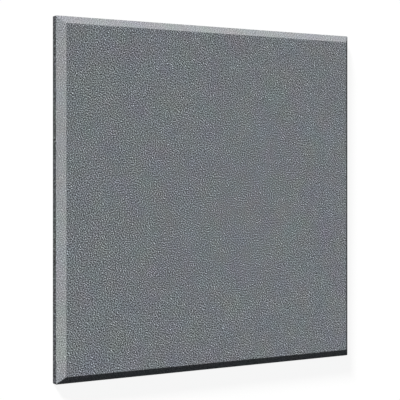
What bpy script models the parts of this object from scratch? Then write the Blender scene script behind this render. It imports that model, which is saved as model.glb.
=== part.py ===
"""An acoustic ceiling panel: one square, rigid fibre board with a bevel all round its face.

The board lies on its back, and the origin is the middle of the back. +Z points out of the
face, and +X and +Y run along the panel's width and height. All sizes are in metres.
"""

import math

import bmesh
import bpy

# Over-all size of the board: the 24 inch ceiling module, one inch thick.
PANEL_WIDTH = 0.6096
PANEL_HEIGHT = 0.6096
PANEL_THICKNESS = 0.0254

# The bevel: how far it reaches in over the face, and how far it falls from the face.
BEVEL_RUN = 0.0127
BEVEL_DROP = 0.0127

# Radii of the softened arrises: where the bevel meets the face, where it meets the square
# edge, at the four corners in plan, and round the back, which the saw leaves sharper.
FACE_ARRIS_RADIUS = 0.0015
FOOT_ARRIS_RADIUS = 0.0012
CORNER_RADIUS = 0.0015
BACK_ARRIS_RADIUS = 0.0008
ARRIS_SEGMENTS = 3

# The square edge is what is left of the thickness below the bevel.
SQUARE_EDGE = PANEL_THICKNESS - BEVEL_DROP

# Facing and bare board: colours, and how matt each one is.
FACING_GREY = (0.168, 0.182, 0.196, 1.0)
BOARD_CHARCOAL = (0.058, 0.060, 0.063, 1.0)
FACING_ROUGHNESS = 0.92
BOARD_ROUGHNESS = 0.96

# Material slots of the panel's mesh.
FACING_SLOT = 0
BOARD_SLOT = 1

# Shading breaks where two faces turn by more than this, so each arris shows its own facets.
SHARP_ANGLE = math.radians(30.0)


def clear_scene():
    """Takes every object out of the open scene."""
    for scene_object in list(bpy.data.objects):
        bpy.data.objects.remove(scene_object, do_unlink=True)


def matt_material(name, colour, roughness):
    """A plain, non-metallic finish."""
    material = bpy.data.materials.new(name)
    material.use_nodes = True
    shader = material.node_tree.nodes["Principled BSDF"]
    shader.inputs["Base Color"].default_value = colour
    shader.inputs["Roughness"].default_value = roughness
    shader.inputs["Metallic"].default_value = 0.0
    return material


def square_edged_blank(mesh):
    """The board up to the foot of its bevel, as a box standing on z = 0."""
    corners = bmesh.ops.create_cube(mesh, size=1.0)["verts"]
    bmesh.ops.translate(mesh, verts=corners, vec=(0.0, 0.0, 0.5))
    bmesh.ops.scale(mesh, verts=corners, vec=(PANEL_WIDTH, PANEL_HEIGHT, SQUARE_EDGE))


def raise_bevelled_face(mesh):
    """Draws the top face in by the bevel's run and lifts it by the bevel's drop, with mitred corners."""
    mesh.faces.ensure_lookup_table()
    top = max(mesh.faces, key=lambda face: face.calc_center_median().z)
    bmesh.ops.inset_region(
        mesh, faces=[top], thickness=BEVEL_RUN, depth=BEVEL_DROP, use_even_offset=True
    )


def arris_radius(edge):
    """The radius of one edge of the sharp board, read from the heights of the edge's two ends."""
    low, high = sorted(corner.co.z for corner in edge.verts)
    halfway_up_square_edge = SQUARE_EDGE / 2.0
    halfway_up_bevel = SQUARE_EDGE + BEVEL_DROP / 2.0
    if high < halfway_up_square_edge:
        return BACK_ARRIS_RADIUS
    if low > halfway_up_bevel:
        return FACE_ARRIS_RADIUS
    if low > halfway_up_square_edge and high < halfway_up_bevel:
        return FOOT_ARRIS_RADIUS
    return CORNER_RADIUS


def mark_arrises(mesh):
    """Gives each edge its setback as a bevel weight, a share of the largest one, which is returned.

    A round of radius r between two faces whose normals are an angle apart touches them
    r * tan(angle / 2) from the edge.
    """
    weights = mesh.edges.layers.float.new("bevel_weight_edge")
    setbacks = {
        edge: arris_radius(edge) * math.tan(edge.calc_face_angle() / 2.0)
        for edge in mesh.edges
    }
    largest = max(setbacks.values())
    for edge, setback in setbacks.items():
        edge[weights] = setback / largest
    return largest


def paint_faces(mesh):
    """The facing covers what looks up: the face and its bevels. The square edges and back are bare."""
    for face in mesh.faces:
        looks_up = face.calc_center_median().z > SQUARE_EDGE
        face.material_index = FACING_SLOT if looks_up else BOARD_SLOT


def build_panel(collection):
    """The whole panel: a blank, its bevelled face raised on it, and all its arrises softened."""
    mesh = bmesh.new()
    square_edged_blank(mesh)
    raise_bevelled_face(mesh)
    mesh.normal_update()
    largest_setback = mark_arrises(mesh)
    paint_faces(mesh)

    data = bpy.data.meshes.new("panel_board")
    mesh.to_mesh(data)
    mesh.free()
    data.materials.append(matt_material("grey facing", FACING_GREY, FACING_ROUGHNESS))
    data.materials.append(matt_material("charcoal board", BOARD_CHARCOAL, BOARD_ROUGHNESS))
    data.shade_smooth()
    data.set_sharp_from_angle(angle=SHARP_ANGLE)

    panel = bpy.data.objects.new("panel_board", data)
    collection.objects.link(panel)
    arrises = panel.modifiers.new("soft arrises", "BEVEL")
    arrises.limit_method = "WEIGHT"
    arrises.offset_type = "OFFSET"
    arrises.width = largest_setback
    arrises.segments = ARRIS_SEGMENTS
    arrises.profile = 0.5
    arrises.use_clamp_overlap = True
    return panel


def main():
    clear_scene()
    collection = bpy.data.collections.new("acoustic ceiling panel")
    bpy.context.scene.collection.children.link(collection)
    build_panel(collection)


main()
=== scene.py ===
"""Looks of the acoustic ceiling panel: its cloth-like facing, its board edges and back in a dark
charcoal that is painted shade, and a plain studio.

The panel lies on its back. +Z points out of its face, and all lengths are in metres.
"""

import math

import bpy
import numpy as np
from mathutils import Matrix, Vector


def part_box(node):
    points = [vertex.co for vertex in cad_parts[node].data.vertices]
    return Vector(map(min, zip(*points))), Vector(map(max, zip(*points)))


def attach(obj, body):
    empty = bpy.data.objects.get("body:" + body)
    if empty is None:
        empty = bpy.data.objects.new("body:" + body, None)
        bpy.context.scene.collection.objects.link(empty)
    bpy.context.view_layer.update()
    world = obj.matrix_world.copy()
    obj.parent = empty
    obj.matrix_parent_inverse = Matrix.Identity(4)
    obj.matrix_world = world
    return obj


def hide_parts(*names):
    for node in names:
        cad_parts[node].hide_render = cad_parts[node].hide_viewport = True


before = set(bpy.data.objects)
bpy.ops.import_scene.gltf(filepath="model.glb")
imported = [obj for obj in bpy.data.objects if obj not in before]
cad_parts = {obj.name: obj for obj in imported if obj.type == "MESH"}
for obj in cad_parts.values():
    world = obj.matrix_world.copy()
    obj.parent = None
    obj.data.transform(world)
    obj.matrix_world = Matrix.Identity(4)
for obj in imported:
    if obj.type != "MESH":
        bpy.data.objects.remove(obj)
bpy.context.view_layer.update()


# The panel. A square board of pressed mineral fibre, sawn to the ceiling module, with a bevel
# milled all round its face. A nubbly crepe cloth is bonded over the face and the bevels and
# trimmed off at the bevels' foot; the square edges and the back get a dark charcoal colour,
# which is painted shade.

LOWEST, HIGHEST = (np.array(corner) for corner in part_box("panel_board"))
HALF_PLAN = (HIGHEST - LOWEST)[:2] / 2.0
THICKNESS = HIGHEST[2] - LOWEST[2]

# The rim's section: the bevel's run and drop, the radii of its arrises, and the radius that
# rounds the outline at its four corners.
BEVEL_RUN = 0.0127
BEVEL_DROP = 0.0127
FACE_ARRIS = 0.0015
FOOT_ARRIS = 0.0012
BACK_ARRIS = 0.0008
PLAN_CORNER = 0.0015

# The mesh: its columns along each side, with those on each half corner; its steps round each
# arris; and its rows down the bevel and down the square edge. The rim takes in RIM_MARGIN of the
# flat face and back. A row or column at HOLD from every arris keeps its rounding off the flats.
COLUMNS = 192
CORNER_COLUMNS = 2
ARRIS_STEPS = 4
BEVEL_ROWS = 7
EDGE_ROWS = 5
RIM_MARGIN = 0.0012
HOLD = 0.0003

# How far the milled bevel strays from straight, and how deep the face's faint hollows are, each
# with its longest and its shortest wave, of which WAVES are summed. The hollows fade out over
# HOLLOWS_FADE beside the bevel.
STRAY = 0.00010
STRAY_WAVES = (0.16, 0.014)
HOLLOW = 0.00006
HOLLOW_WAVES = (0.11, 0.020)
HOLLOWS_FADE = 0.012
WAVES = 48


def held_run(start, end, rows):
    """Even points along a straight run, of which the first and the last lie HOLD from its ends."""
    length = np.linalg.norm(end - start)
    share = np.linspace(HOLD / length, 1.0 - HOLD / length, rows)[:, None]
    return start + (end - start) * share


def section_round(before, corner, after, radius):
    """An arc in place of a corner of the section. It touches both runs at a distance of the
    radius times the tangent of half the turn, and its points are turned evenly about its centre."""
    into = (corner - before) / np.linalg.norm(corner - before)
    out = (after - corner) / np.linalg.norm(after - corner)
    turn = math.acos(np.clip(into @ out, -1.0, 1.0))
    start = corner - into * radius * math.tan(turn / 2.0)
    inward = out - into * (into @ out)
    inward /= np.linalg.norm(inward)
    angle = np.linspace(0.0, turn, ARRIS_STEPS + 1)[:, None]
    return start + radius * (np.sin(angle) * into + (1.0 - np.cos(angle)) * inward)


def rim_section():
    """The rim's section as (inset from the outline, height) pairs, from the face over the bevel
    and the square edge to the back, and the row at which the facing is trimmed off: where the
    round at the bevel's foot begins."""
    corners = np.array([
        (BEVEL_RUN + RIM_MARGIN, THICKNESS),
        (BEVEL_RUN, THICKNESS),
        (0.0, THICKNESS - BEVEL_DROP),
        (0.0, 0.0),
        (RIM_MARGIN, 0.0),
    ])
    face_round = section_round(*corners[0:3], FACE_ARRIS)
    foot_round = section_round(*corners[1:4], FOOT_ARRIS)
    back_round = section_round(*corners[2:5], BACK_ARRIS)
    faced = np.concatenate([
        corners[:1],
        face_round,
        held_run(face_round[-1], foot_round[0], BEVEL_ROWS),
        foot_round,
    ])
    bare = np.concatenate([
        held_run(foot_round[-1], back_round[0], EDGE_ROWS),
        back_round,
        corners[-1:],
    ])
    return np.maximum(np.concatenate([faced, bare]), 0.0), len(faced) - 1 - ARRIS_STEPS


def plan_side(half_along, half_out):
    """One side of a rounded rectangle, from the middle of one corner's arc to the middle of the
    next: an eighth of a turn, a held straight run, and an eighth of a turn. Gives the places
    along the side and outwards from the middle, without the last point, which starts the next."""
    eighth = np.linspace(math.pi / 4.0, 0.0, CORNER_COLUMNS + 1)
    arc_along = half_along - PLAN_CORNER + PLAN_CORNER * np.sin(eighth)
    arc_out = half_out - PLAN_CORNER + PLAN_CORNER * np.cos(eighth)
    straight = half_along - PLAN_CORNER - HOLD
    run = np.linspace(-straight, straight, COLUMNS - 2 * CORNER_COLUMNS - 1)
    along = np.concatenate([-arc_along, run, arc_along[:0:-1]])
    out = np.concatenate([arc_out, np.full(len(run), half_out), arc_out[:0:-1]])
    return along, out


def plan_outline():
    """The panel's outline, counter-clockwise from the corner at low x and low y."""
    along_x, out_y = plan_side(HALF_PLAN[0], HALF_PLAN[1])
    along_y, out_x = plan_side(HALF_PLAN[1], HALF_PLAN[0])
    x = np.concatenate([along_x, out_x, -along_x, -out_x])
    y = np.concatenate([-out_y, along_y, out_y, -along_y])
    return np.stack([x, y], axis=1)


def slow_waves(places, longest, shortest, seed):
    """A gentle unevenness from 0 to 1, around a half: plane waves in random directions, of
    wavelengths spread evenly in scale between two limits, are summed, and the sum is divided by
    five times its own spread."""
    draw = np.random.default_rng(seed)
    heading = draw.uniform(0.0, math.tau, WAVES)
    length = np.exp(draw.uniform(math.log(shortest), math.log(longest), WAVES))
    phase = draw.uniform(0.0, math.tau, WAVES)
    travel = places[..., :1] * np.cos(heading) + places[..., 1:2] * np.sin(heading)
    height = np.sin(math.tau * travel / length + phase).sum(axis=-1)
    five_spreads = 5.0 * math.sqrt(WAVES / 2.0)
    return np.clip(0.5 + height / five_spreads, 0.0, 1.0)


def four_sides(ring):
    """A closed ring of values cut into its four sides, all running the way x or y grows."""
    closed = np.concatenate([ring, ring[:1]])
    low, right, high, left = (closed[k * COLUMNS:(k + 1) * COLUMNS + 1] for k in range(4))
    return low, right, high[::-1], left[::-1]


def filled_ring(ring):
    """The grid of places inside a ring (a Coons patch): the blend between the low and the high
    side plus the blend between left and right, less the blend of the corners, which is in both."""
    low, right, high, left = four_sides(ring)
    across = np.linspace(0.0, 1.0, COLUMNS + 1)[:, None, None]
    up = across.transpose(1, 0, 2)
    upwards = (1.0 - up) * low[:, None] + up * high[:, None]
    sideways = (1.0 - across) * left[None] + across * right[None]
    corners = ((1.0 - up) * ((1.0 - across) * low[0] + across * low[-1])
               + up * ((1.0 - across) * high[0] + across * high[-1]))
    return (upwards + sideways - corners)[1:-1, 1:-1].reshape(-1, 2)


def grid_numbers(ring, first_inside):
    """Vertex numbers of a filled ring: the ring's own on its border, new ones inside it."""
    numbers = np.empty((COLUMNS + 1, COLUMNS + 1), int)
    inside = COLUMNS - 1
    numbers[1:-1, 1:-1] = first_inside + np.arange(inside * inside).reshape(inside, inside)
    numbers[:, 0], numbers[-1], numbers[:, -1], numbers[0] = four_sides(ring)
    return numbers


def quads_of(numbers):
    """The quads between neighbouring rows and columns of a grid of vertex numbers."""
    corners = [numbers[:-1, :-1], numbers[1:, :-1], numbers[1:, 1:], numbers[:-1, 1:]]
    return np.stack(corners, axis=-1).reshape(-1, 4)


section, trim_row = rim_section()
outline = plan_outline()
# Every column moves in along a straight line of its own: squarely in the middle of a side, and
# along the mitre at its ends. The bevel strays most at its top, and not at all at its foot.
inward = -np.clip(outline / (HALF_PLAN - PLAN_CORNER), -1.0, 1.0)
up_bevel = np.clip((section[:, 1] - THICKNESS + BEVEL_DROP) / BEVEL_DROP, 0.0, 1.0)
stray = STRAY * slow_waves(outline, *STRAY_WAVES, seed=3)
inset = section[:, :1] + up_bevel[:, None] * stray
rings = outline + inset[..., None] * inward
rim = np.dstack([rings, np.broadcast_to(section[:, 1:], inset.shape)])

face = filled_ring(rings[0])
back = filled_ring(rings[-1])
beside_bevel = (HALF_PLAN - BEVEL_RUN - np.abs(face)).min(axis=1)
faded = np.clip(beside_bevel / HOLLOWS_FADE, 0.0, 1.0)
hollows = HOLLOW * slow_waves(face, *HOLLOW_WAVES, seed=5) * faded
points = np.concatenate([
    rim.reshape(-1, 3),
    np.column_stack([face, THICKNESS - hollows]),
    np.column_stack([back, np.zeros(len(back))]),
])

rim_numbers = np.arange(inset.size).reshape(inset.shape)
closed_rim = np.concatenate([rim_numbers, rim_numbers[:, :1]], axis=1)
face_quads = quads_of(grid_numbers(rim_numbers[0], inset.size))
rim_quads = quads_of(closed_rim)
back_quads = quads_of(grid_numbers(rim_numbers[-1], inset.size + len(face)))[:, ::-1]
quads = np.concatenate([face_quads, rim_quads, back_quads])

panel_mesh = bpy.data.meshes.new("panel")
panel_mesh.from_pydata(points.tolist(), [], quads.tolist())

# The cloth's own flat places, in metres, for its weave: on the face they are x and y, and from
# there the bevel and the edge are rolled out flat, each side straight out from its own arris.
# A rim quad's corners are taken in the order in which quads_of gives them.
OUTWARDS = np.array([(0.0, -1.0), (1.0, 0.0), (0.0, 1.0), (-1.0, 0.0)])
rolled = np.concatenate([[0.0], np.cumsum(np.linalg.norm(np.diff(section, axis=0), axis=1))])
rim_row, rim_column = np.indices((len(section) - 1, len(outline))).reshape(2, -1)
corner_row = rim_row[:, None] + np.array([0, 1, 1, 0])
corner_column = (rim_column[:, None] + np.array([0, 0, 1, 1])) % len(outline)
side = rim_column // COLUMNS
out = OUTWARDS[side][:, None]
here = rings[corner_row, corner_column]
arris = rings[0, corner_column]
shift_out = ((here - arris) * out).sum(axis=-1, keepdims=True)
rim_cloth = here + out * (rolled[corner_row][..., None] - shift_out)
face_cloth = points[face_quads][..., :2]
back_cloth = points[back_quads][..., :2]
cloth_places = np.concatenate([face_cloth, rim_cloth, back_cloth])

# The bake map packs the same places into a square, with most of it for the facing: the four
# square edges, coloured charcoal as painted shade, lie in bands above it, and the plain back,
# squeezed sideways, to its right.
FRONT_SHARE = 0.80
GAP = 0.012
# The rim rows below the trim, like the back, take the dark charcoal of painted shade.
shade_painted_rim = rim_row >= trim_row
faced_places = np.concatenate([face_cloth.reshape(-1, 2), rim_cloth[~shade_painted_rim].reshape(-1, 2)])
reach = np.abs(faced_places).max()
density = FRONT_SHARE / (2.0 * reach)
bake_places = GAP + (cloth_places + reach) * density

along_side = (here * np.abs(out[..., ::-1])).sum(axis=-1)
below_trim = rolled[corner_row] - rolled[trim_row]
band_pitch = (rolled[-1] - rolled[trim_row]) * density + GAP
band_across = GAP + (along_side + reach) * density
band_up = FRONT_SHARE + 2.0 * GAP + side[:, None] * band_pitch + below_trim * density
bands = np.stack([band_across, band_up], axis=-1)
rim_places = bake_places[len(face_quads):-len(back_quads)]
rim_places[shade_painted_rim] = bands[shade_painted_rim]

back_corner = np.array([FRONT_SHARE + 2.0 * GAP, GAP])
back_size = np.array([1.0 - FRONT_SHARE - 3.0 * GAP, FRONT_SHARE])
across_back = (back_cloth + HALF_PLAN) / (2.0 * HALF_PLAN)
bake_places[-len(back_quads):] = back_corner + across_back * back_size

for map_name, places in (("cloth", cloth_places), ("OFBake", bake_places)):
    uv_map = panel_mesh.uv_layers.new(name=map_name)
    uv_map.data.foreach_set("uv", places.reshape(-1).astype(np.float32))
# Material 1, the dark charcoal that is painted shade, goes on the square edges and the back.
is_shade_painted = np.concatenate([
    np.zeros(len(face_quads), bool),
    shade_painted_rim,
    np.ones(len(back_quads), bool),
])
panel_mesh.polygons.foreach_set("material_index", is_shade_painted.astype(np.int32))
panel_mesh.shade_smooth()

# Two values for each point. One says how far the cloth is drawn tight: partly where it turns
# over the arris, and wholly a little way down the bevel. The other says how worn the point is:
# most along the arrises, which hands and neighbours rub, and unevenly there.
DRAWN_AT_ARRIS = 0.6
DRAWN_WITHIN = 0.0015
RUB_WIDTH = 0.0016
RUB_WAVES = (0.20, 0.010)
tightness = np.clip(DRAWN_AT_ARRIS + (rolled - rolled[1]) / DRAWN_WITHIN, 0.0, 1.0)
drawn = np.zeros(len(points))
drawn[:inset.size] = np.repeat(tightness, len(outline))
half_arris = ARRIS_STEPS // 2
arris_rows = [1 + half_arris, trim_row + half_arris, len(section) - 2 - half_arris]
rubbed = np.exp(-((rolled[:, None] - rolled[arris_rows]) / RUB_WIDTH) ** 2).max(axis=1)
wear = np.zeros(len(points))
wear[:inset.size] = (rubbed[:, None] * slow_waves(outline, *RUB_WAVES, seed=11)).reshape(-1)
for value_name, values in (("drawn", drawn), ("wear", wear)):
    attribute = panel_mesh.attributes.new(value_name, "FLOAT", "POINT")
    attribute.data.foreach_set("value", values.astype(np.float32))

panel = bpy.data.objects.new("panel", panel_mesh)
bpy.context.scene.collection.objects.link(panel)


def add_node(tree, kind, inputs, **settings):
    """A new node of a tree, with its settings, and its inputs given as numbers or as outputs."""
    node = tree.nodes.new(kind)
    for name, value in settings.items():
        setattr(node, name, value)
    for name, value in inputs.items():
        if isinstance(value, bpy.types.NodeSocket):
            tree.links.new(value, node.inputs[name])
        else:
            node.inputs[name].default_value = value
    return node


def maths(tree, operation, *values):
    """The result of one Math node."""
    node = add_node(tree, "ShaderNodeMath", dict(enumerate(values)), operation=operation)
    return node.outputs[0]


def vector_maths(tree, operation, *values, scale=None):
    """The result of one Vector Math node."""
    inputs = dict(enumerate(values))
    if scale is not None:
        inputs["Scale"] = scale
    node = add_node(tree, "ShaderNodeVectorMath", inputs, operation=operation)
    return node.outputs[0]


def blend(tree, factor, low, high):
    """A number that goes from low to high as the factor goes from 0 to 1. A Mix node has sockets
    for each kind of value under the same names, so they are picked by number."""
    node = add_node(tree, "ShaderNodeMix", {0: factor, 2: low, 3: high}, data_type="FLOAT")
    return node.outputs[0]


def blend_colour(tree, factor, low, high):
    """A colour that goes from low to high as the factor goes from 0 to 1."""
    node = add_node(tree, "ShaderNodeMix", {0: factor, 6: low, 7: high}, data_type="RGBA")
    return node.outputs[2]


def point_value(tree, name):
    """One of the values that the mesh holds for each point."""
    return add_node(tree, "ShaderNodeAttribute", {}, attribute_name=name).outputs["Fac"]


def toned(tree, tone, mask, gain, rest=1.0):
    """A tone made lighter where a mask is: the tone times (rest + gain times the mask)."""
    return maths(tree, "MULTIPLY", tone, maths(tree, "MULTIPLY_ADD", mask, gain, rest))


def group_ports(name, inputs, outputs):
    """A new shader group with the named inputs and outputs, each of the given kind."""
    group = bpy.data.node_groups.new(name, "ShaderNodeTree")
    for port, kind in inputs.items():
        group.interface.new_socket(port, in_out="INPUT", socket_type="NodeSocket" + kind)
    for port, kind in outputs.items():
        group.interface.new_socket(port, in_out="OUTPUT", socket_type="NodeSocket" + kind)
    given = group.nodes.new("NodeGroupInput").outputs
    result = group.nodes.new("NodeGroupOutput").inputs
    return group, given, result


def use_group(tree, group, inputs):
    """One use of a group in a material: its outputs, by name."""
    return add_node(tree, "ShaderNodeGroup", inputs, node_tree=group).outputs


# The cloth and the board share three effects: dye that drifts in soft patches, loose fibres, and
# pebbles. The fibres lie two ways, at these turns in radians, drawn out along each way and bent
# a little. A fibre's edge rises where the noise goes from FIBRE_FOOT to FIBRE_CREST.
NOISE_MIDDLE = (0.5, 0.5, 0.5)
BENDS_PER_METRE = 160.0
BEND_REACH = 0.004
FIBRE_WAYS = (0.5, 2.2)
FIBRE_DRAW = 0.09
FIBRE_FOOT = 0.66
FIBRE_CREST = 0.76


def uneven_dye_group():
    """A tint near white that drifts in soft patches, each of its three channels by itself: 1 plus
    an amount times noise around 0."""
    group, given, result = group_ports(
        "uneven dye",
        {"Place": "Vector", "Patches per Metre": "Float", "Amount": "Float"},
        {"Tint": "Color"})
    noise = add_node(group, "ShaderNodeTexNoise", {
        "Vector": given["Place"], "Scale": given["Patches per Metre"], "Detail": 2.0})
    swing = vector_maths(group, "SUBTRACT", noise.outputs["Color"], NOISE_MIDDLE)
    tint = vector_maths(group, "MULTIPLY_ADD", swing, given["Amount"], (1.0, 1.0, 1.0))
    group.links.new(tint, result["Tint"])
    return group


def loose_fibres_group():
    """Short fine fibres lying two ways: noise drawn out along each way, of which only the crests
    are kept, so that they end and start again. The mask is 1 on a fibre and 0 between them, and
    a higher cover keeps more of the noise."""
    group, given, result = group_ports(
        "loose fibres",
        {"Place": "Vector", "Across per Metre": "Float", "Cover": "Float"},
        {"Fibres": "Float"})
    bends = add_node(group, "ShaderNodeTexNoise", {
        "Vector": given["Place"], "Scale": BENDS_PER_METRE}).outputs["Color"]
    bent = vector_maths(group, "MULTIPLY_ADD", bends, (BEND_REACH,) * 3, given["Place"])
    layers = []
    for way in FIBRE_WAYS:
        laid = add_node(group, "ShaderNodeMapping", {
            "Vector": bent, "Rotation": (0.0, 0.0, way), "Scale": (FIBRE_DRAW, 1.0, 1.0)})
        noise = add_node(group, "ShaderNodeTexNoise", {
            "Vector": laid.outputs[0], "Scale": given["Across per Metre"], "Detail": 1.0})
        layers.append(maths(group, "ADD", noise.outputs["Fac"], given["Cover"]))
    mask = add_node(group, "ShaderNodeMapRange", {
        "Value": maths(group, "MAXIMUM", *layers),
        "From Min": FIBRE_FOOT, "From Max": FIBRE_CREST})
    group.links.new(mask.outputs[0], result["Fibres"])
    return group


# Pebbles: how many go to a cell of the noise, which sets how even they are; how far its two
# layers are moved apart, and the share of each that makes them as strong as one; how many times
# brighter a full height is than none; how much painted shade darkens the pits; and the darkest
# tone.
PEBBLES_PER_CELL = 1.35
LAYER_MOVES = (0.0, 3.0)
LAYER_SHARE = math.sqrt(0.5)
PEBBLE_CONTRAST = 60.0
PIT_SHADE = 0.44
DARKEST_PIT = 0.05


def pebbles_group():
    """Pebbles of one pitch. Their height is the sum of two layers of band-limited noise, around 0.
    Their tone is a power of that height, less the painted shade of the pits, and scaled back to 1
    where the height is 0: (contrast^height - pit shade) / (1 - pit shade). Crowns are so painted
    lighter and pits darker."""
    group, given, result = group_ports(
        "pebbles",
        {"Place": "Vector", "Pebbles per Metre": "Float", "Rise": "Float"},
        {"Height": "Float", "Tone": "Float"})
    cells = maths(group, "DIVIDE", given["Pebbles per Metre"], PEBBLES_PER_CELL)
    height = 0.0
    for move in LAYER_MOVES:
        moved = vector_maths(group, "ADD", given["Place"], (move, move, 0.0))
        layer = add_node(group, "ShaderNodeTexGabor", {
            "Vector": moved, "Scale": cells, "Frequency": PEBBLES_PER_CELL, "Anisotropy": 0.0,
        }, gabor_type="2D")
        uneven = maths(group, "SUBTRACT", layer.outputs["Value"], 0.5)
        height = maths(group, "MULTIPLY_ADD", uneven, LAYER_SHARE, height)
    height = maths(group, "MULTIPLY", height, given["Rise"])
    # Painted light on the crowns and painted shade in the pits.
    power = maths(group, "POWER", PEBBLE_CONTRAST, height)
    above_pits = maths(group, "SUBTRACT", power, PIT_SHADE)
    tone = maths(group, "DIVIDE", above_pits, 1.0 - PIT_SHADE)
    group.links.new(height, result["Height"])
    group.links.new(maths(group, "MAXIMUM", tone, DARKEST_PIT), result["Tone"])
    return group


uneven_dye = uneven_dye_group()
loose_fibres = loose_fibres_group()
pebbles = pebbles_group()

# Fibre hardly shines, and a fine pattern's slope is taken across one pixel.
FIBRE_SPECULAR = 0.15
SLOPE_WIDTH = 1.0


def fibre_finish(material, colour, roughness, height):
    """Colour, roughness and relief put on a material's own shader, with the dull shine of fibre
    all over."""
    tree = material.node_tree
    shader = tree.nodes["Principled BSDF"]
    bump = add_node(tree, "ShaderNodeBump", {
        "Height": height, "Distance": 1.0, "Filter Width": SLOPE_WIDTH})
    tree.links.new(colour, shader.inputs["Base Color"])
    tree.links.new(roughness, shader.inputs["Roughness"])
    tree.links.new(bump.outputs[0], shader.inputs["Normal"])
    shader.inputs["Specular IOR Level"].default_value = FIBRE_SPECULAR


# The cloth: short threads of warp and weft cross in no order and bunch up into crowns, which
# stand a little higher and are rubbed smoother than the pits between them; the crowns are painted
# lighter and the pits darker, painted light and shade. Where it is drawn tight, over the bevels,
# the crowns are pressed down, with less painted shade, and the grey is painted paler and less
# tinted, a painted highlight that stands for the brightly lit bevels.
FACING_GREY = (0.1585, 0.172, 0.186, 1.0)
# A paler grey for the bevels: painted highlight.
FACING_PAINTED_HIGHLIGHT = (0.178, 0.182, 0.186, 1.0)
HIGHLIGHT_WHERE_DRAWN = 0.5
DYE_PATCHES_PER_METRE = 20.0
DYE_DRIFT = 0.20
CLOTH_ROUGHNESS = 0.93
CROWN_SMOOTHNESS = 0.12
CROWN_PITCH = 0.00335
CROWN_RISE = 0.00070
CROWNS_PRESSED = 0.55

# The threads, and how far they wander from a straight grid. A thread's bead falls off by these
# shares of the squared distance from its middle. Threads differ in dye, less where drawn tight.
THREAD_PITCH = 0.00115
THREAD_RISE = 0.00010
SLACK_PER_METRE = 90.0
SLACK_REACH = (0.002, 0.002, 0.0)
BEAD_FALL_ACROSS = 4.0
BEAD_FALL_ALONG = 1.8
HEATHER = 0.5
HEATHER_LOST = 0.1

# What lightens the cloth: painted light on a thread's middle beside its painted-shade sides,
# lint that lies on it, and wear.
BEAD_PAINTED_LIGHT = 0.20
BEAD_PAINTED_SIDE_SHADE = 0.88
LINT_PER_METRE = 2600.0
LINT_COVER = -0.04
LINT_GAIN = 0.20
LINT_RISE = 0.00003
CLOTH_WEAR_GAIN = 0.10


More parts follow.
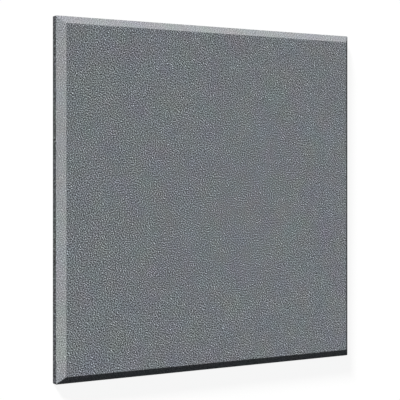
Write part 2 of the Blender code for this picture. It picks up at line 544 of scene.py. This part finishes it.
def facing_material():
    """Grey crepe. Its crowns are pebbles, which give the broad relief and tone. Its threads are
    a fine grid of cells in which warp or weft lies on top by chance, each a bead that is round
    across the thread and falls off gently along it: 1 less a share of the squared distance from
    its middle, across times along."""
    material = bpy.data.materials.new("grey facing")
    material.use_nodes = True
    tree = material.node_tree

    cloth = add_node(tree, "ShaderNodeUVMap", {}, uv_map="cloth").outputs[0]
    drawn = point_value(tree, "drawn")
    crowns = use_group(tree, pebbles, {
        "Place": cloth, "Pebbles per Metre": 1.0 / CROWN_PITCH,
        "Rise": maths(tree, "MULTIPLY_ADD", drawn, -CROWNS_PRESSED, 1.0)})

    slack = add_node(tree, "ShaderNodeTexNoise", {
        "Vector": cloth, "Scale": SLACK_PER_METRE, "Detail": 2.0,
    }, noise_dimensions="2D").outputs["Color"]
    wander = vector_maths(tree, "SUBTRACT", slack, NOISE_MIDDLE)
    place = vector_maths(tree, "MULTIPLY_ADD", wander, SLACK_REACH, cloth)
    grid = vector_maths(tree, "SCALE", place, scale=1.0 / THREAD_PITCH)
    cell = vector_maths(tree, "FLOOR", grid)
    within = vector_maths(tree, "SUBTRACT", vector_maths(tree, "FRACTION", grid), (0.5, 0.5, 0.0))
    x, y = add_node(tree, "ShaderNodeSeparateXYZ", {"Vector": within}).outputs[:2]
    chance = add_node(tree, "ShaderNodeTexWhiteNoise", {"Vector": cell}, noise_dimensions="2D")
    warp_on_top = maths(tree, "GREATER_THAN", chance.outputs["Value"], 0.5)
    across = blend(tree, warp_on_top, y, x)
    along = blend(tree, warp_on_top, x, y)
    across_squared = maths(tree, "MULTIPLY", across, across)
    along_squared = maths(tree, "MULTIPLY", along, along)
    bead = maths(tree, "MULTIPLY",
                 maths(tree, "MULTIPLY_ADD", across_squared, -BEAD_FALL_ACROSS, 1.0),
                 maths(tree, "MULTIPLY_ADD", along_squared, -BEAD_FALL_ALONG, 1.0))

    channels = add_node(tree, "ShaderNodeSeparateColor", {"Color": chance.outputs["Color"]})
    thread_dye = maths(tree, "SUBTRACT", channels.outputs[1], 0.5)
    heather = maths(tree, "MULTIPLY_ADD", drawn, -HEATHER_LOST, HEATHER)
    lint = use_group(tree, loose_fibres, {
        "Place": cloth, "Across per Metre": LINT_PER_METRE, "Cover": LINT_COVER})["Fibres"]
    tone = toned(tree, crowns["Tone"], thread_dye, heather)
    # The bead's middle is painted lighter and its sides darker: painted light and shade.
    tone = toned(tree, tone, bead, BEAD_PAINTED_LIGHT, BEAD_PAINTED_SIDE_SHADE)
    tone = toned(tree, tone, lint, LINT_GAIN)
    tone = toned(tree, tone, point_value(tree, "wear"), CLOTH_WEAR_GAIN)
    # The paler, less tinted grey on the bevels is a painted highlight.
    highlight_paleness = maths(tree, "MULTIPLY", drawn, HIGHLIGHT_WHERE_DRAWN)
    grey = blend_colour(tree, highlight_paleness, FACING_GREY, FACING_PAINTED_HIGHLIGHT)
    tint = use_group(tree, uneven_dye, {
        "Place": cloth, "Patches per Metre": DYE_PATCHES_PER_METRE, "Amount": DYE_DRIFT})["Tint"]
    colour = vector_maths(tree, "SCALE", vector_maths(tree, "MULTIPLY", grey, tint), scale=tone)

    roughness = maths(tree, "MULTIPLY_ADD", crowns["Height"], -CROWN_SMOOTHNESS, CLOTH_ROUGHNESS)
    height = maths(tree, "MULTIPLY", crowns["Height"], CROWN_RISE)
    height = maths(tree, "MULTIPLY_ADD", bead, THREAD_RISE, height)
    height = maths(tree, "MULTIPLY_ADD", lint, LINT_RISE, height)
    fibre_finish(material, colour, roughness, height)
    return material


# The board: its square edges and back are a dark charcoal, which is painted shade, streaked
# by fibres laid level, many times finer in height than along. It is clumped too. The clumps'
# pattern leans out of level by SAW_SLANT, in radians, so it is drawn out upright on the edges,
# like a saw's marks, and stays round behind.
PAINTED_SHADE_CHARCOAL = (0.0375, 0.0405, 0.0429)
BOARD_PATCHES_PER_METRE = 25.0
BOARD_DRIFT = 0.25
BOARD_DARKEST = 0.25
STREAKS_PER_METRE = 160.0
STREAK_FINENESS = 7.0
STREAK_GAIN = 1.2
STREAK_REST = 0.40
CLUMP_PITCH = 0.0036
CLUMP_RISE = 0.75
SAW_SLANT = 0.20
BOARD_RELIEF = 0.0006
BOARD_ROUGHNESS = 0.88
STREAK_ROUGHNESS = 0.10

# Pale fibres stray over the board, and its arrises are worn lighter.
FIBRES_PER_METRE = 1900.0
FIBRE_COVER = 0.0
FIBRE_GAIN = 0.55
FIBRE_RISE = 0.00006
BOARD_WEAR_GAIN = 0.25

# The cut ends of the facing's threads hang a ragged FRINGE below the line where it is trimmed.
# They are upright, END_DRAW as fine in height as across.
TRIM_HEIGHT = section[trim_row, 1]
FRINGE = 0.0012
ENDS_PER_METRE = 1400.0
END_DRAW = 0.2
FRINGE_FOOT = 0.30
FRINGE_TOP = 0.40
FRINGE_RISE = 0.00010


def board_material():
    """The board's square edges and back: a dark charcoal that is painted shade. Its tone is the
    level streaks times the clumps, lighter on pale stray fibres and where it is worn. The fringe of
    the facing covers it where the height above the trim line, in fringes, plus upright noise is
    high enough."""
    material = bpy.data.materials.new("charcoal board")
    material.use_nodes = True
    tree = material.node_tree

    place = add_node(tree, "ShaderNodeTexCoord", {}).outputs["Object"]
    level = add_node(tree, "ShaderNodeMapping", {
        "Vector": place, "Scale": (1.0, 1.0, STREAK_FINENESS)}).outputs[0]
    streak = add_node(tree, "ShaderNodeTexNoise", {
        "Vector": level, "Scale": STREAKS_PER_METRE, "Detail": 5.0, "Roughness": 0.65,
    }).outputs["Fac"]
    slanted = add_node(tree, "ShaderNodeMapping", {
        "Vector": place, "Rotation": (SAW_SLANT, -SAW_SLANT, 0.0)}).outputs[0]
    clumps = use_group(tree, pebbles, {
        "Place": slanted, "Pebbles per Metre": 1.0 / CLUMP_PITCH, "Rise": CLUMP_RISE})
    fibres = use_group(tree, loose_fibres, {
        "Place": place, "Across per Metre": FIBRES_PER_METRE, "Cover": FIBRE_COVER})["Fibres"]
    tone = toned(tree, clumps["Tone"], streak, STREAK_GAIN, STREAK_REST)
    tone = toned(tree, tone, fibres, FIBRE_GAIN)
    tone = toned(tree, tone, point_value(tree, "wear"), BOARD_WEAR_GAIN)
    tone = maths(tree, "MAXIMUM", tone, BOARD_DARKEST)
    tint = use_group(tree, uneven_dye, {
        "Place": place, "Patches per Metre": BOARD_PATCHES_PER_METRE, "Amount": BOARD_DRIFT})["Tint"]
    # The dark charcoal is painted shade on the square edges and the back.
    charcoal = vector_maths(tree, "MULTIPLY", PAINTED_SHADE_CHARCOAL, tint)
    painted_shade_colour = vector_maths(tree, "SCALE", charcoal, scale=tone)

    z = add_node(tree, "ShaderNodeSeparateXYZ", {"Vector": place}).outputs[2]
    upright = add_node(tree, "ShaderNodeMapping", {
        "Vector": place, "Scale": (1.0, 1.0, END_DRAW)}).outputs[0]
    ragged = add_node(tree, "ShaderNodeTexNoise", {
        "Vector": upright, "Scale": ENDS_PER_METRE, "Detail": 1.0}).outputs["Fac"]
    above_trim = maths(tree, "SUBTRACT", z, TRIM_HEIGHT)
    hang = maths(tree, "MULTIPLY_ADD", above_trim, 1.0 / FRINGE, ragged)
    fringe = add_node(tree, "ShaderNodeMapRange", {
        "Value": hang, "From Min": FRINGE_FOOT, "From Max": FRINGE_TOP}).outputs[0]
    colour = blend_colour(tree, fringe, painted_shade_colour, FACING_GREY)

    roughness = maths(tree, "MULTIPLY_ADD", streak, STREAK_ROUGHNESS, BOARD_ROUGHNESS)
    height = maths(tree, "MULTIPLY", streak, BOARD_RELIEF)
    height = maths(tree, "MULTIPLY_ADD", clumps["Height"], BOARD_RELIEF, height)
    height = maths(tree, "MULTIPLY_ADD", fibres, FIBRE_RISE, height)
    height = maths(tree, "MULTIPLY_ADD", fringe, FRINGE_RISE, height)
    fibre_finish(material, colour, roughness, height)
    return material


panel_mesh.materials.append(facing_material())
panel_mesh.materials.append(board_material())
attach(panel, "root")
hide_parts("panel_board")


# The floor. A plain white sheet of paper under the panel, without an edge in sight. The panel
# lies flat on it, a hair above its surface, and casts a soft, faint shadow on it.

FLOOR_HALF = 12.0
FLOOR_LEVEL = -0.0004
FLOOR_GLOW = 0.915
FLOOR_SHADE = (0.10, 0.10, 0.10, 1.0)
FLOOR_PAPER = (0.46, 0.46, 0.46, 1.0)


def seen_by_eye(tree):
    """1 for rays that carry the picture: from the camera, off gloss or through glass."""
    path = add_node(tree, "ShaderNodeLightPath", {}).outputs
    seen = maths(tree, "MAXIMUM", path["Is Camera Ray"], path["Is Glossy Ray"])
    return maths(tree, "MAXIMUM", seen, path["Is Transmission Ray"])


def floor_material():
    """To the eye, paper that glows a little, so that lit it is white and shaded a pale grey.
    To all other light, plain pale paper."""
    material = bpy.data.materials.new("white paper")
    material.use_nodes = True
    tree = material.node_tree
    tree.nodes.clear()
    glow = add_node(tree, "ShaderNodeEmission", {"Strength": FLOOR_GLOW})
    shade = add_node(tree, "ShaderNodeBsdfDiffuse", {"Color": FLOOR_SHADE})
    to_eye = add_node(tree, "ShaderNodeAddShader", {0: glow.outputs[0], 1: shade.outputs[0]})
    to_light = add_node(tree, "ShaderNodeBsdfDiffuse", {"Color": FLOOR_PAPER})
    paper = add_node(tree, "ShaderNodeMixShader", {
        0: seen_by_eye(tree), 1: to_light.outputs[0], 2: to_eye.outputs[0]})
    add_node(tree, "ShaderNodeOutputMaterial", {"Surface": paper.outputs[0]})
    return material


floor_corners = FLOOR_HALF * np.array([(-1, -1), (1, -1), (1, 1), (-1, 1)])
floor_points = np.column_stack([floor_corners, np.full(4, FLOOR_LEVEL)])
floor_mesh = bpy.data.meshes.new("floor")
floor_mesh.from_pydata(floor_points.tolist(), [], [(0, 1, 2, 3)])
floor_mesh.materials.append(floor_material())
floor = bpy.data.objects.new("floor", floor_mesh)
bpy.context.scene.collection.objects.link(floor)


# The light. One broad lamp stands far off, low over the face's upper left, and rakes across
# the cloth; a weak, slightly cool sky fills the shade, and is white to the eye.

KEY_WAY = Vector((-0.512, 0.789, 0.340))
KEY_STRENGTH = 8.45
KEY_BREADTH = math.radians(11.0)
KEY_COLOUR = (1.0, 0.99, 0.975)
SKY_COLOUR = (0.84, 1.0, 1.16, 1.0)
SKY_FILL = 0.043
SKY_TO_EYE = (1.0, 1.0, 1.0, 1.0)

key = bpy.data.lights.new("key", "SUN")
key.energy = KEY_STRENGTH
key.angle = KEY_BREADTH
key.color = KEY_COLOUR
key_lamp = bpy.data.objects.new("key", key)
key_lamp.rotation_euler = KEY_WAY.to_track_quat("Z", "Y").to_euler()
bpy.context.scene.collection.objects.link(key_lamp)

sky = bpy.data.worlds.new("sky")
sky.use_nodes = True
sky_tree = sky.node_tree
sky_tree.nodes.clear()
fill = add_node(sky_tree, "ShaderNodeBackground", {"Color": SKY_COLOUR, "Strength": SKY_FILL})
white = add_node(sky_tree, "ShaderNodeBackground", {"Color": SKY_TO_EYE, "Strength": 1.0})
sky_light = add_node(sky_tree, "ShaderNodeMixShader", {
    0: seen_by_eye(sky_tree), 1: fill.outputs[0], 2: white.outputs[0]})
add_node(sky_tree, "ShaderNodeOutputWorld", {"Surface": sky_light.outputs[0]})
bpy.context.scene.world = sky


# The camera. It stands off the face to the left, turned about the panel's upright only, and its
# lens is shifted down a little, which keeps the panel's left and right edges parallel. Lengths
# in the picture are in pixels of a frame 400 wide, and SENSOR is in millimetres.

PICTURE_SIDE = 400.0
SENSOR = 36.0
LENS_IN_PIXELS = 1213.4
AXIS_ABOVE_MIDDLE = 30.48
CAMERA_TURN = math.radians(31.52)
CAMERA_PLACE = (-1.1487, 0.0503, 1.8435)

camera_data = bpy.data.cameras.new("camera")
camera_data.sensor_width = SENSOR
camera_data.lens = LENS_IN_PIXELS / PICTURE_SIDE * SENSOR
camera_data.shift_y = -AXIS_ABOVE_MIDDLE / PICTURE_SIDE
camera = bpy.data.objects.new("camera", camera_data)
camera.location = CAMERA_PLACE
camera.rotation_euler = (0.0, -CAMERA_TURN, 0.0)
bpy.context.scene.collection.objects.link(camera)
bpy.context.scene.camera = camera
bpy.context.scene.view_settings.view_transform = "Standard"
